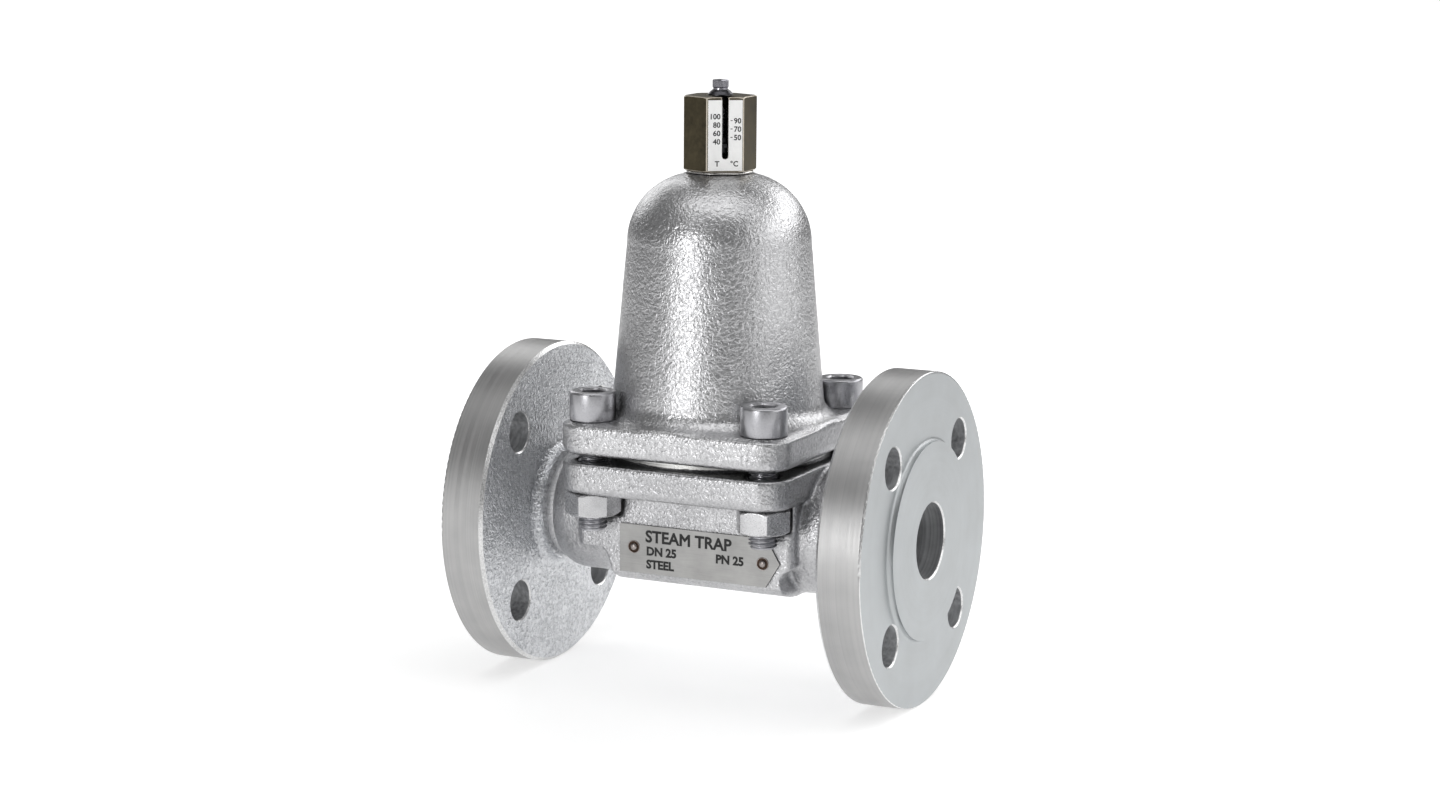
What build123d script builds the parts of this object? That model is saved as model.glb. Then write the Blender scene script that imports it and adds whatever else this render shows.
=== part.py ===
"""Flanged thermostatic steam trap with an adjustable temperature scale, DN 25, PN 25.

Millimetres. The origin is the centre of the inlet flange's raised face. +X is the flow
direction from inlet to outlet and +Z is up. The bell cover, the bimetal stack and the
adjusting spindle share one vertical axis at X = AXIS_X, Y = 0.
"""
from build123d import *
import os
from math import atan2, cos, radians, sin, sqrt

# Pipe flanges, EN 1092-1 type 11, DN 25, PN 25
FACE_TO_FACE = 160.0
FLANGE_D = 115.0
FLANGE_T = 18.0
RAISED_FACE_D = 68.0
RAISED_FACE_H = 2.0
FLANGE_PCD = 85.0
FLANGE_HOLE_D = 14.0
FLANGE_HOLES = 4
PIPE_BORE_R = 13.0
HUB_R = 20.3
HUB_END = 23.5
HUB_FILLET = 3.0
HUB_CHAMFER = 1.2
WELD_HALF_W = 1.4
WELD_ROOT_R = 15.8
WELD_TOP_R = 18.2
WELD_CROWN = 0.4
FACE_EDGE_R = 0.8
BACK_CHAMFER = 1.1
STEP_R = 1.5

# Vertical axis of the cover and of everything inside it
AXIS_X = FACE_TO_FACE / 2

# Square cover joint
SQUARE = 85.0
BOLT_SPACING = 64.4
CORNER_R = (SQUARE - BOLT_SPACING) / 2
BODY_FLANGE_Z = (12.8, 23.7)
COVER_FLANGE_Z = (26.3, 36.7)
FLANGE_EDGE_R = 2.8
PAD_H = 1.0
PAD_INSET = 2.0
LAND_R = 38.5
LAND_TOP = 25.3
GASKET_R = (33.0, 38.2)

# Cover screws and nuts, M10
SCREW_R = 5.0
SCREW_HOLE_R = 5.5
SCREW_HEAD_R = 8.0
SCREW_HEAD_H = 10.0
SCREW_END_Z = -0.8
SOCKET_AF = 8.0
SOCKET_DEPTH = 5.0
NUT_AF = 17.0
NUT_H = 8.2
NUT_TURNS = (27.0, 51.0, 2.0, 38.0)
SPOT_FACE_R = 10.6
HEAD_CLEAR_R = 8.9

# Body block under the square flange
BLOCK_X = (38.0, 120.5)
BLOCK_HALF_Y = 26.0
BLOCK_CORNER_R = 3.0
EAR_BOTTOM = -8.7
BELLY_X = (52.5, 117.5)
BELLY_EDGE_Z = -17.0
BELLY_Z = -22.6
UNDER_FILLET = 3.5
NECK_START_R = 19.4
NECK_R = 22.2
NECK_ROUND = 8.0

# Passages inside the body
PASSAGE_R = 12.5
INLET_END_X = 50.0
POCKET_R = (18.5, 31.0)
POCKET_FLOOR = 14.0
BOSS_TOP = 21.0
RISER_R = 6.0
SEAT_HOLE_R = 10.05

# Bell cover
BELL_FOOT_R = 37.1
BELL_SHOULDER_R = 31.85
BELL_SHOULDER_Z = 97.0
DOME_R = 24.0
DOME_TOP = BELL_SHOULDER_Z + DOME_R
FOOT_FILLET = 5.0
WALL = 5.5
CHAMBER_R = 31.0
CHAMBER_STEP_Z = 42.0
BOSS_R = 18.8
BOSS_Z = 98.0
GUIDE_R = 7.3
SHOULDER_Z = 105.5
PACKING_Z = 108.0
PACKING_R = 6.5
COVER_SEAT_R = 12.2

# Spindle and what it drives
SPINDLE_R = 4.0
SPINDLE_TAIL_R = 3.5
SPINDLE_Z = (92.0, 143.6)
COLLAR_R = 6.5
COLLAR_Z = (102.8, 104.4)
JOURNAL_R = 2.5
HEAD_Z = (150.0, 152.8)
HEAD_AF = 4.2
RUNNING = 0.08
SLEEVE_R = 7.0
SLEEVE_Z = (84.0, 101.0)
SLEEVE_FOOT_R = 11.5
SLEEVE_FOOT_H = 2.5
KEY_W = 3.0
KEY_R = 9.5

# Valve, spring and bimetal stack
SEAT_Z = (11.0, 27.0)
ORIFICE_R = 3.5
SEAT_CONE_R = 4.5
PLUG_Z = 27.95
PLUG_R = 6.0
STEM_R = 2.45
STEM_TOP = 87.0
PLATE_Z = (41.0, 44.0)
PLATE_R = 12.0
DISCS = 16
DISC_R = (3.1, 11.0)
DISC_T = 1.0
DISC_CONE = 1.42
SPRING_R = 9.0
SPRING_WIRE_R = 0.8
SPRING_TURNS = 4

# Strainer screen round the stack
SCREEN_R = (17.2, 17.8)
SCREEN_Z = (21.05, 97.7)
SCREEN_ROWS = 6
SCREEN_SLOTS = 12

# Hexagonal scale housing on top
CAP_AF = 22.0
CAP_Z = (122.0, 147.5)
CAP_BORE_R = 7.6
CAP_ROOF = 3.0
CAP_FACE_DEG = 34.0
CAP_CROWN_R = 11.8
CAP_CROWN_DROP = 0.35
CAP_WASHER_R = 11.5
SLOT_W = 2.2
SLOT_BOTTOM = 126.6
PLATE_W = 11.8
PLATE_T = 0.5
SCALE_PLATE_Z = (122.6, 146.6)
POINTER_Z = 131.0
POINTER_H = 5.0
POINTER_R = 7.3
FINGER = (1.6, 6.7, 9.6, 1.2)

# Name plate on the front of the block
NAME_X = (55.4, 110.8)
NAME_TIP_X = 115.9
NAME_Z = (-15.9, 1.0)
NAME_T = 0.6
RIVETS = ((60.8, -6.9), (109.6, -7.8))
RIVET_HEAD_R = 1.9
RIVET_PIN_R = 1.2


def outline(points):
    """Closed flat face through points given as (radius or x, height)."""
    return make_face(Polyline(*[(a, 0, b) for a, b in points], close=True))


def turned(points):
    """Solid of revolution about the vertical axis, from (radius, z) points."""
    return Pos(AXIS_X, 0, 0) * revolve(outline(points), Axis.Z)


def ring(inner, outer, low, high):
    """Plain ring about the vertical axis."""
    return turned([(inner, low), (outer, low), (outer, high), (inner, high)])


def rod(radius, low, high):
    """Plain vertical cylinder on the vertical axis."""
    return turned([(0, low), (radius, low), (radius, high), (0, high)])


def bolt_places():
    """Locations of the four cover-bolt axes: inlet front and back, then outlet front and back."""
    half = BOLT_SPACING / 2
    return [Pos(AXIS_X + sx * half, sy * half, 0) for sx in (-1, 1) for sy in (-1, 1)]


def on_bolts(shape):
    """Copies of a shape made at the origin, on the four cover-bolt axes."""
    return [place * shape for place in bolt_places()]


def cylinder_up(radius, low, high):
    """Vertical cylinder on the origin's axis."""
    return Pos(0, 0, low) * extrude(Circle(radius), high - low)


def cylinder_x(radius, start, end):
    """Horizontal cylinder on the flow axis."""
    return Plane.YZ.offset(start) * extrude(Circle(radius), end - start)


def square_plate(size, corner, low, high):
    """Rounded square plate centred on the vertical axis."""
    return Pos(AXIS_X, 0, low) * extrude(RectangleRounded(size, size, corner), high - low)


def rounded_below(plate, radius):
    """Plate with its lower outside edge rounded."""
    return fillet(plate.faces().sort_by(Axis.Z)[0].edges(), radius)


def flipped(shape):
    """Mirror image of an inlet-side shape, on the outlet side."""
    return mirror(shape, Plane.YZ.offset(AXIS_X))


def pipe_flange():
    """Weld-neck flange: raised face at X = 0, hub pointing along +X."""
    disc = outline([
        (0, PIPE_BORE_R), (0, RAISED_FACE_D / 2), (RAISED_FACE_H, RAISED_FACE_D / 2),
        (RAISED_FACE_H, FLANGE_D / 2), (FLANGE_T, FLANGE_D / 2), (FLANGE_T, HUB_R),
        (HUB_END - WELD_HALF_W - 0.5, HUB_R), (HUB_END - WELD_HALF_W, HUB_R - HUB_CHAMFER),
        (HUB_END - WELD_HALF_W, WELD_TOP_R), (HUB_END, WELD_ROOT_R), (HUB_END, PIPE_BORE_R),
    ])
    flange = revolve(disc, Axis.X)
    flange = fillet(ring_edges(flange, FLANGE_T, HUB_R), HUB_FILLET)
    flange = fillet(ring_edges(flange, RAISED_FACE_H, RAISED_FACE_D / 2), STEP_R)
    flange = fillet(ring_edges(flange, RAISED_FACE_H, FLANGE_D / 2), FACE_EDGE_R)
    flange = chamfer(ring_edges(flange, FLANGE_T, FLANGE_D / 2), BACK_CHAMFER)
    for i in range(FLANGE_HOLES):
        angle = radians(45 + 360 / FLANGE_HOLES * i)
        y = FLANGE_PCD / 2 * cos(angle)
        z = FLANGE_PCD / 2 * sin(angle)
        flange -= Pos(0, y, z) * cylinder_x(FLANGE_HOLE_D / 2, -1, FLANGE_T + 1)
    return flange


def ring_edges(solid, x, radius):
    """Full-circle edges of a turned solid at one X and one radius."""
    found = solid.edges().filter_by(GeomType.CIRCLE)
    return ShapeList([e for e in found if abs(e.radius - radius) < 1e-3 and abs(e.center().X - x) < 1e-3])


def weld_bead():
    """Butt weld at the bottom of the groove between hub and neck, with a low crown."""
    root = (HUB_END, 0, WELD_ROOT_R)
    left = (HUB_END - WELD_HALF_W, 0, WELD_TOP_R)
    right = (HUB_END + WELD_HALF_W, 0, WELD_TOP_R)
    crown = (HUB_END, 0, WELD_TOP_R + WELD_CROWN)
    face = make_face([Line(root, left), ThreePointArc(left, crown, right), Line(right, root)])
    return revolve(face, Axis.X)


def neck():
    """Pipe stub of the body from the weld to the block, swelling out past the weld."""
    start_x = HUB_END + WELD_HALF_W
    end_x = BLOCK_X[0] + 20
    rise = NECK_R - NECK_START_R
    start = (start_x, 0, NECK_START_R)
    full = (start_x + NECK_ROUND, 0, NECK_R)
    middle = (start_x + NECK_ROUND * 0.42, 0, NECK_START_R + rise * 0.72)
    face = make_face([
        Polyline((end_x, 0, 0), (HUB_END, 0, 0), (HUB_END, 0, WELD_ROOT_R), (start_x, 0, WELD_TOP_R), start),
        ThreePointArc(start, middle, full),
        Polyline(full, (end_x, 0, NECK_R), (end_x, 0, 0)),
    ])
    return revolve(face, Axis.X)


def block():
    """Body block: front outline with ears and a belly, end section and rounded plan."""
    top = BODY_FLANGE_Z[0] + 1
    front = make_face(FilletPolyline(
        (BLOCK_X[0], 0, top), (BLOCK_X[0], 0, EAR_BOTTOM), (BELLY_X[0] - 3.4, 0, EAR_BOTTOM),
        (BELLY_X[0] + 1.6, 0, BELLY_Z), (BELLY_X[1], 0, BELLY_Z), (BELLY_X[1] - 2, 0, EAR_BOTTOM - 3),
        (BLOCK_X[1], 0, EAR_BOTTOM), (BLOCK_X[1], 0, top),
        radius=[0.5, 2.5, 3.5, 3.5, 3.5, 3.0, 1.5, 0.5], close=True,
    ))
    slab = extrude(front, BLOCK_HALF_Y, both=True)
    under = (0, 0, BELLY_Z)
    left = (0, -BLOCK_HALF_Y + 2.5, BELLY_EDGE_Z - 2.0)
    right = (0, BLOCK_HALF_Y - 2.5, BELLY_EDGE_Z - 2.0)
    end = make_face([
        Polyline((0, -BLOCK_HALF_Y, top), (0, -BLOCK_HALF_Y, BELLY_EDGE_Z), left),
        ThreePointArc(left, under, right),
        Polyline(right, (0, BLOCK_HALF_Y, BELLY_EDGE_Z), (0, BLOCK_HALF_Y, top), (0, -BLOCK_HALF_Y, top)),
    ])
    length = BLOCK_X[1] - BLOCK_X[0]
    bar = Pos(BLOCK_X[0], 0, 0) * extrude(end, length, dir=(1, 0, 0))
    plan = RectangleRounded(length, 2 * BLOCK_HALF_Y, BLOCK_CORNER_R)
    column = Pos(BLOCK_X[0] + length / 2, 0, BELLY_Z - 1) * extrude(plan, top - BELLY_Z + 1)
    return slab & bar & column


def coving(side):
    """Cast fillet between the block's front or back and the underside of the square flange."""
    y = side * (BLOCK_HALF_Y - 0.5)
    out = side * (BLOCK_HALF_Y + UNDER_FILLET)
    top = BODY_FLANGE_Z[0] + 0.5
    low = (0, side * BLOCK_HALF_Y, BODY_FLANGE_Z[0] - UNDER_FILLET)
    high = (0, out, BODY_FLANGE_Z[0])
    reach = UNDER_FILLET * (1 - sqrt(0.5))
    middle = (0, side * (BLOCK_HALF_Y + reach), BODY_FLANGE_Z[0] - reach)
    face = make_face([
        ThreePointArc(low, middle, high),
        Polyline(high, (0, out, top), (0, y, top), (0, y, low[2]), low),
    ])
    length = BLOCK_X[1] - BLOCK_X[0] - 2 * BLOCK_CORNER_R
    return Pos(BLOCK_X[0] + BLOCK_CORNER_R, 0, 0) * extrude(face, length, dir=(1, 0, 0))


def make_body():
    """Body: block, square flange with gasket land, necks, passages and bolt holes."""
    flange = rounded_below(square_plate(SQUARE, CORNER_R, *BODY_FLANGE_Z), FLANGE_EDGE_R)
    body = block() + flange + neck() + flipped(neck()) + coving(-1) + coving(1)
    body += rod(LAND_R, BODY_FLANGE_Z[1] - 1, LAND_TOP)
    body -= ring(POCKET_R[0], POCKET_R[1], POCKET_FLOOR, LAND_TOP + 1)
    body -= rod(POCKET_R[0], BOSS_TOP, LAND_TOP + 1)
    body -= cylinder_x(PASSAGE_R, HUB_END - 1, INLET_END_X)
    body -= Pos(INLET_END_X, 0, 0) * Sphere(PASSAGE_R)
    body -= cylinder_x(PASSAGE_R, AXIS_X, FACE_TO_FACE - HUB_END + 1)
    body -= Pos(AXIS_X, 0, 0) * Sphere(PASSAGE_R)
    riser_x = AXIS_X - (POCKET_R[0] + POCKET_R[1]) / 2
    body -= Pos(riser_x, 0, 0) * cylinder_up(RISER_R, 0, POCKET_FLOOR + 1)
    body -= rod(SEAT_HOLE_R, 0, BOSS_TOP + 1)
    for hole in on_bolts(cylinder_up(SCREW_HOLE_R, BODY_FLANGE_Z[0] - 1, BODY_FLANGE_Z[1] + 1)):
        body -= hole
    for spot in on_bolts(cylinder_up(SPOT_FACE_R, BODY_FLANGE_Z[0] - NUT_H - 1.5, BODY_FLANGE_Z[0])):
        body -= spot
    for x, z in RIVETS:
        pin_hole = Plane.XZ.offset(BLOCK_HALF_Y - 6) * extrude(Circle(RIVET_PIN_R + 0.02), 7)
        body -= Pos(x, 0, z) * pin_hole
    return body


def bell_outside():
    """Outer form of the cover: foot fillet, tapered wall and spherical shoulder."""
    slope = (BELL_SHOULDER_R - BELL_FOOT_R) / (BELL_SHOULDER_Z - COVER_FLANGE_Z[1])
    pad_top = COVER_FLANGE_Z[1] + PAD_H
    foot_r = BELL_FOOT_R + slope * FOOT_FILLET
    centre_r = BELL_SHOULDER_R - DOME_R
    flat_z = DOME_TOP
    flare = (BELL_FOOT_R + FOOT_FILLET, 0, pad_top)
    rise = (foot_r, 0, pad_top + FOOT_FILLET)
    shoulder = (BELL_SHOULDER_R, 0, BELL_SHOULDER_Z)
    bend = radians(45)
    middle = (centre_r + DOME_R * cos(bend), 0, BELL_SHOULDER_Z + DOME_R * sin(bend))
    crown = (centre_r, 0, DOME_TOP)
    flare_mid = (flare[0] - FOOT_FILLET * sin(bend), 0, pad_top + FOOT_FILLET * (1 - cos(bend)))
    face = make_face([
        Polyline((0, 0, pad_top - 1), (flare[0], 0, pad_top - 1), flare),
        ThreePointArc(flare, flare_mid, rise),
        Line(rise, shoulder),
        ThreePointArc(shoulder, middle, crown),
        Polyline(crown, (0, 0, flat_z), (0, 0, pad_top - 1)),
    ])
    bell = Pos(AXIS_X, 0, 0) * revolve(face, Axis.Z)
    return bell + rod(COVER_SEAT_R, DOME_TOP - 3, DOME_TOP)


def chamber():
    """Hollow of the cover, with the spindle boss left standing in its roof."""
    roof_r = BELL_SHOULDER_R - WALL
    arc_r = DOME_R - WALL
    centre_r = roof_r - arc_r
    boss_top = BELL_SHOULDER_Z + sqrt(arc_r ** 2 - (BOSS_R - centre_r) ** 2)
    start = (roof_r, 0, BELL_SHOULDER_Z)
    end = (BOSS_R, 0, boss_top)
    bend = atan2(boss_top - BELL_SHOULDER_Z, BOSS_R - centre_r) / 2
    middle = (centre_r + arc_r * cos(bend), 0, BELL_SHOULDER_Z + arc_r * sin(bend))
    face = make_face([
        Polyline((0, 0, 0), (CHAMBER_R, 0, 0), (CHAMBER_R, 0, CHAMBER_STEP_Z), start),
        ThreePointArc(start, middle, end),
        Polyline(end, (BOSS_R, 0, BOSS_Z), (0, 0, BOSS_Z), (0, 0, 0)),
    ])
    return Pos(AXIS_X, 0, 0) * revolve(face, Axis.Z)


def make_cover():
    """Bell cover with square flange, raised pad, screw seats and the spindle bore."""
    cover = rounded_below(square_plate(SQUARE, CORNER_R, *COVER_FLANGE_Z), FLANGE_EDGE_R)
    flange_top = COVER_FLANGE_Z[1]
    pad = square_plate(SQUARE - 2 * PAD_INSET, CORNER_R - PAD_INSET, flange_top - 1, flange_top + PAD_H)
    cover = cover + pad + bell_outside() - chamber()
    cover -= rod(GUIDE_R, BOSS_Z - 1, SHOULDER_Z)
    cover -= rod(SPINDLE_R + RUNNING, BOSS_Z - 1, DOME_TOP + 1)
    cover -= rod(PACKING_R, PACKING_Z, DOME_TOP + 1)
    key_slot = Box(2 * (KEY_R + 0.5), KEY_W + 0.6, SHOULDER_Z - BOSS_Z + 2)
    cover -= Pos(AXIS_X, 0, (SHOULDER_Z + BOSS_Z) / 2 - 1.5) * key_slot
    for hole in on_bolts(cylinder_up(SCREW_HOLE_R, 0, 60)):
        cover -= hole
    for seat in on_bolts(cylinder_up(HEAD_CLEAR_R, flange_top + PAD_H, 60)):
        cover -= seat
    return cover


def cap_screw():
    """Hexagon socket cap screw, under-head face on the cover's pad."""
    head_z = COVER_FLANGE_Z[1] + PAD_H
    top = head_z + SCREW_HEAD_H
    head = cylinder_up(SCREW_HEAD_R, head_z, top)
    head = fillet(head.faces().sort_by(Axis.Z)[-1].edges(), 0.7)
    head = chamfer(head.faces().sort_by(Axis.Z)[0].edges(), 0.3)
    shank = cylinder_up(SCREW_R, SCREW_END_Z, head_z)
    shank = chamfer(shank.faces().sort_by(Axis.Z)[0].edges(), 0.9)
    socket = extrude(RegularPolygon(SOCKET_AF / 2, 6, major_radius=False), SOCKET_DEPTH)
    mouth = Cone(SOCKET_AF / 2, SOCKET_AF / 2 + 0.8, 0.8)
    screw = head + shank - Pos(0, 0, top - SOCKET_DEPTH) * socket
    return screw - Pos(0, 0, top - 0.4) * mouth


def hex_nut(turn):
    """Hexagon nut under the body flange, chamfered on both faces and turned about its axis."""
    low = BODY_FLANGE_Z[0] - NUT_H
    blank = Pos(0, 0, low) * extrude(RegularPolygon(NUT_AF / 2, 6, major_radius=False), NUT_H)
    corner = NUT_AF / sqrt(3)
    flat = NUT_AF / 2 * 0.97
    drop = (corner - flat) * 0.5
    shell = revolve(outline([
        (0, low), (flat, low), (corner, low + drop), (corner, low + NUT_H - drop),
        (flat, low + NUT_H), (0, low + NUT_H),
    ]), Axis.Z)
    nut = (blank & shell) - cylinder_up(SCREW_R + 0.04, low - 1, low + NUT_H + 1)
    return Rot(0, 0, turn) * nut


def name_plate():
    """Five-sided plate whose tip points along the flow, with two rivet holes."""
    mid = (NAME_Z[0] + NAME_Z[1]) / 2
    face = make_face(Polyline(
        (NAME_X[0], 0, NAME_Z[0]), (NAME_X[1], 0, NAME_Z[0]), (NAME_TIP_X, 0, mid),
        (NAME_X[1], 0, NAME_Z[1]), (NAME_X[0], 0, NAME_Z[1]), close=True,
    ))
    plate = Pos(0, -BLOCK_HALF_Y, 0) * extrude(face, NAME_T, dir=(0, -1, 0))
    for x, z in RIVETS:
        plate -= Pos(x, 0, z) * (Plane.XZ.offset(BLOCK_HALF_Y - 1) * extrude(Circle(RIVET_PIN_R + 0.02), 3))
    return plate


def rivet(x, z):
    """Drive rivet: domed head on the plate and a pin into the block."""
    face_y = BLOCK_HALF_Y + NAME_T
    pin = Plane.XZ.offset(BLOCK_HALF_Y - 5) * extrude(Circle(RIVET_PIN_R), 5 + NAME_T)
    head = Plane.XZ.offset(face_y) * extrude(Circle(RIVET_HEAD_R), 0.9)
    head = fillet(head.faces().sort_by(Axis.Y)[0].edges(), 0.5)
    return Pos(x, 0, z) * (pin + head)


def valve_seat():
    """Screwed seat with a hexagonal rim, orifice and seating cone."""
    top = SEAT_Z[1]
    seat = turned([
        (ORIFICE_R, SEAT_Z[0]), (SEAT_HOLE_R - 0.05, SEAT_Z[0]), (SEAT_HOLE_R - 0.05, BOSS_TOP + 1),
        (13.0, BOSS_TOP + 1), (13.0, top - 1.5), (11.5, top), (SEAT_CONE_R, top), (ORIFICE_R, top - 1),
    ])
    flats = Pos(AXIS_X, 0, BOSS_TOP + 1) * extrude(RegularPolygon(12.0, 6, major_radius=False), 8)
    below = rod(14, 0, BOSS_TOP + 1)
    return seat & (flats + below)


def valve_stem():
    """Stem with the conical valve plug at its foot, the plate thread and a guided top."""
    return turned([
        (0, PLUG_Z), (3.0, PLUG_Z), (PLUG_R, PLUG_Z + 3), (PLUG_R, 36), (4.0, 36), (4.0, PLATE_Z[0]),
        (STEM_R, PLATE_Z[0]), (STEM_R, STEM_TOP - 0.5), (STEM_R - 0.5, STEM_TOP), (0, STEM_TOP),
    ])


def return_spring():
    """Compression spring between the seat and the spring plate."""
    low = SEAT_Z[1] + SPRING_WIRE_R + 0.1
    height = PLATE_Z[0] - SPRING_WIRE_R - 0.1 - low
    path = Helix(height / SPRING_TURNS, height, SPRING_R)
    section = Plane(path @ 0, z_dir=path % 0) * Circle(SPRING_WIRE_R)
    return Pos(AXIS_X, 0, low) * sweep(section, path, is_frenet=True)


def bimetal_discs():
    """Stack of dished bimetal discs, every other one turned over."""
    pitch = (SLEEVE_Z[0] - PLATE_Z[1]) / DISCS
    gap = (pitch - DISC_T - DISC_CONE) / 2
    discs = []
    for i in range(DISCS):
        low = PLATE_Z[1] + i * pitch + gap
        inner = low + (DISC_CONE if i % 2 else 0)
        outer = low + (0 if i % 2 else DISC_CONE)
        discs.append(turned([
            (DISC_R[0], inner), (DISC_R[1], outer), (DISC_R[1], outer + DISC_T), (DISC_R[0], inner + DISC_T),
        ]))
    return discs


def strainer_screen():
    """Slotted tube round the stack, standing on the seat boss."""
    screen = ring(*SCREEN_R, *SCREEN_Z)
    pitch = (SCREEN_Z[1] - SCREEN_Z[0] - 8) / SCREEN_ROWS
    bars = None
    for row in range(SCREEN_ROWS):
        z = SCREEN_Z[0] + 4 + pitch * (row + 0.5)
        for i in range(SCREEN_SLOTS // 2):
            slot = Pos(AXIS_X, 0, z) * Rot(0, 0, 360 / SCREEN_SLOTS * i) * Box(40, 3.4, pitch - 3)
            bars = slot if bars is None else bars + slot
    return screen - bars


def thrust_sleeve():
    """Keyed sleeve that the spindle's lower thread raises and lowers."""
    z0, z1 = SLEEVE_Z
    foot = z0 + SLEEVE_FOOT_H
    sleeve = turned([
        (STEM_R + 0.1, z0), (SLEEVE_FOOT_R, z0), (SLEEVE_FOOT_R, foot), (SLEEVE_R, foot),
        (SLEEVE_R, z1), (0, z1), (0, z0 + 5), (STEM_R + 0.1, z0 + 5),
    ])
    sleeve += Pos(AXIS_X, 0, z1 - 2) * Box(2 * KEY_R, KEY_W, 4)
    return sleeve - rod(SPINDLE_TAIL_R + RUNNING, z0 + 6, z1 + 1)


def adjusting_spindle():
    """Spindle: fine-threaded tail, thrust collar, scale thread, journal and square head."""
    shaft = turned([
        (0, SPINDLE_Z[0]), (SPINDLE_TAIL_R - 0.5, SPINDLE_Z[0]), (SPINDLE_TAIL_R, SPINDLE_Z[0] + 0.5),
        (SPINDLE_TAIL_R, COLLAR_Z[0]), (COLLAR_R, COLLAR_Z[0]), (COLLAR_R, COLLAR_Z[1]),
        (SPINDLE_R, COLLAR_Z[1]), (SPINDLE_R, SPINDLE_Z[1]), (JOURNAL_R, SPINDLE_Z[1]),
        (JOURNAL_R, HEAD_Z[0]), (0, HEAD_Z[0]),
    ])
    head = extrude(Rectangle(HEAD_AF, HEAD_AF), HEAD_Z[1] - HEAD_Z[0])
    head = chamfer(head.edges(), 0.3)
    return shaft + Pos(AXIS_X, 0, HEAD_Z[0]) * Rot(0, 0, CAP_FACE_DEG - 45) * head


def gland_bush():
    """Screwed bush that closes the packing space and carries the scale housing."""
    bore = SPINDLE_R + RUNNING
    top = DOME_TOP + 5
    return turned([
        (bore, PACKING_Z + 4.1), (PACKING_R - 0.05, PACKING_Z + 4.1), (PACKING_R - 0.05, DOME_TOP),
        (CAP_BORE_R - 0.1, DOME_TOP), (CAP_BORE_R - 0.1, top), (bore, top),
    ])


def on_cap_face(shape):
    """Place a shape whose outward side is -Y on the housing's scale face."""
    return Pos(AXIS_X, 0, 0) * Rot(0, 0, CAP_FACE_DEG) * shape


def slot_cutter(low, near, far):
    """Round-bottomed slot, open upwards, between two distances from the axis."""
    depth = far - near
    high = CAP_Z[1] + 1 - low - SLOT_W / 2
    bar = Pos(0, -(near + far) / 2, low + SLOT_W / 2 + high / 2) * Box(SLOT_W, depth, high)
    end = Pos(0, -near, low + SLOT_W / 2) * (Plane.XZ * extrude(Circle(SLOT_W / 2), depth))
    return bar + end


def scale_housing():
    """Hexagonal housing over the pointer, slotted on its scale face."""
    blank = extrude(RegularPolygon(CAP_AF / 2, 6, major_radius=False), CAP_Z[1] - CAP_Z[0])
    corner = CAP_AF / sqrt(3)
    height = CAP_Z[1] - CAP_Z[0]
    rise = height - CAP_CROWN_DROP
    shell = revolve(outline([
        (0, 0), (CAP_CROWN_R, 0), (corner, CAP_CROWN_DROP),
        (corner, rise), (CAP_CROWN_R, height), (0, height),
    ]), Axis.Z)
    cap = on_cap_face(Pos(0, 0, CAP_Z[0]) * (blank & shell))
    cap -= rod(CAP_BORE_R, CAP_Z[0] - 1, CAP_Z[1] - CAP_ROOF)
    cap -= rod(JOURNAL_R + RUNNING, CAP_Z[0], CAP_Z[1] + 1)
    return cap - on_cap_face(slot_cutter(SLOT_BOTTOM, 5.0, CAP_AF / 2 + 1))


def scale_plate():
    """Thin scale plate on the housing's face, with the same slot."""
    face_y = -CAP_AF / 2
    height = SCALE_PLATE_Z[1] - SCALE_PLATE_Z[0]
    plate = Pos(0, face_y - PLATE_T / 2, SCALE_PLATE_Z[0] + height / 2) * Box(PLATE_W, PLATE_T, height)
    return on_cap_face(plate - slot_cutter(SLOT_BOTTOM, CAP_AF / 2 - 1, CAP_AF / 2 + 1))


def pointer_nut():
    """Nut on the scale thread with a finger that shows in the slot."""
    low = POINTER_Z - POINTER_H / 2
    nut = ring(SPINDLE_R + RUNNING, POINTER_R, low, low + POINTER_H)
    width, near, far, height = FINGER
    finger = Pos(0, -(near + far) / 2, POINTER_Z) * Box(width, far - near, height)
    return nut + on_cap_face(finger)


def dust_washer():
    """Dished washer round the journal on top of the housing."""
    inner = JOURNAL_R + 0.3
    base = CAP_Z[1]
    return turned([
        (4.4, base), (4.4, base + 0.4), (3.6, base + 1.3), (inner, base + 1.9),
        (inner, base + 1.3), (3.2, base + 0.9), (3.9, base),
    ])


def write(name, *solids):
    """Write one node, as one solid or as a group of separate solids."""
    shape = solids[0] if len(solids) == 1 else Compound(children=list(solids))
    export_step(shape, f"parts/{name}.step")


os.makedirs("parts", exist_ok=True)
inlet = pipe_flange()
write("inlet_flange", inlet)
write("outlet_flange", flipped(inlet))
bead = weld_bead()
write("inlet_weld", bead)
write("outlet_weld", flipped(bead))
write("body", make_body())
write("cover", make_cover())
write("cover_gasket", ring(GASKET_R[0], GASKET_R[1], LAND_TOP, COVER_FLANGE_Z[0]))
write("cover_screws", *on_bolts(cap_screw()))
write("cover_nuts", *[place * hex_nut(turn) for place, turn in zip(bolt_places(), NUT_TURNS)])
write("name_plate", name_plate())
write("name_plate_rivets", *[rivet(x, z) for x, z in RIVETS])
write("valve_seat", valve_seat())
write("seat_gasket", ring(SEAT_HOLE_R + 0.05, 13.0, BOSS_TOP, BOSS_TOP + 1))
write("valve_stem", valve_stem())
write("spring_plate", ring(STEM_R + 0.02, PLATE_R, *PLATE_Z))
write("return_spring", return_spring())
write("bimetal_discs", *bimetal_discs())
write("strainer_screen", strainer_screen())
write("thrust_sleeve", thrust_sleeve())
write("adjusting_spindle", adjusting_spindle())
write("thrust_washer", ring(SPINDLE_R + 0.15, 6.9, COLLAR_Z[1] + 0.05, SHOULDER_Z - 0.05))
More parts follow.
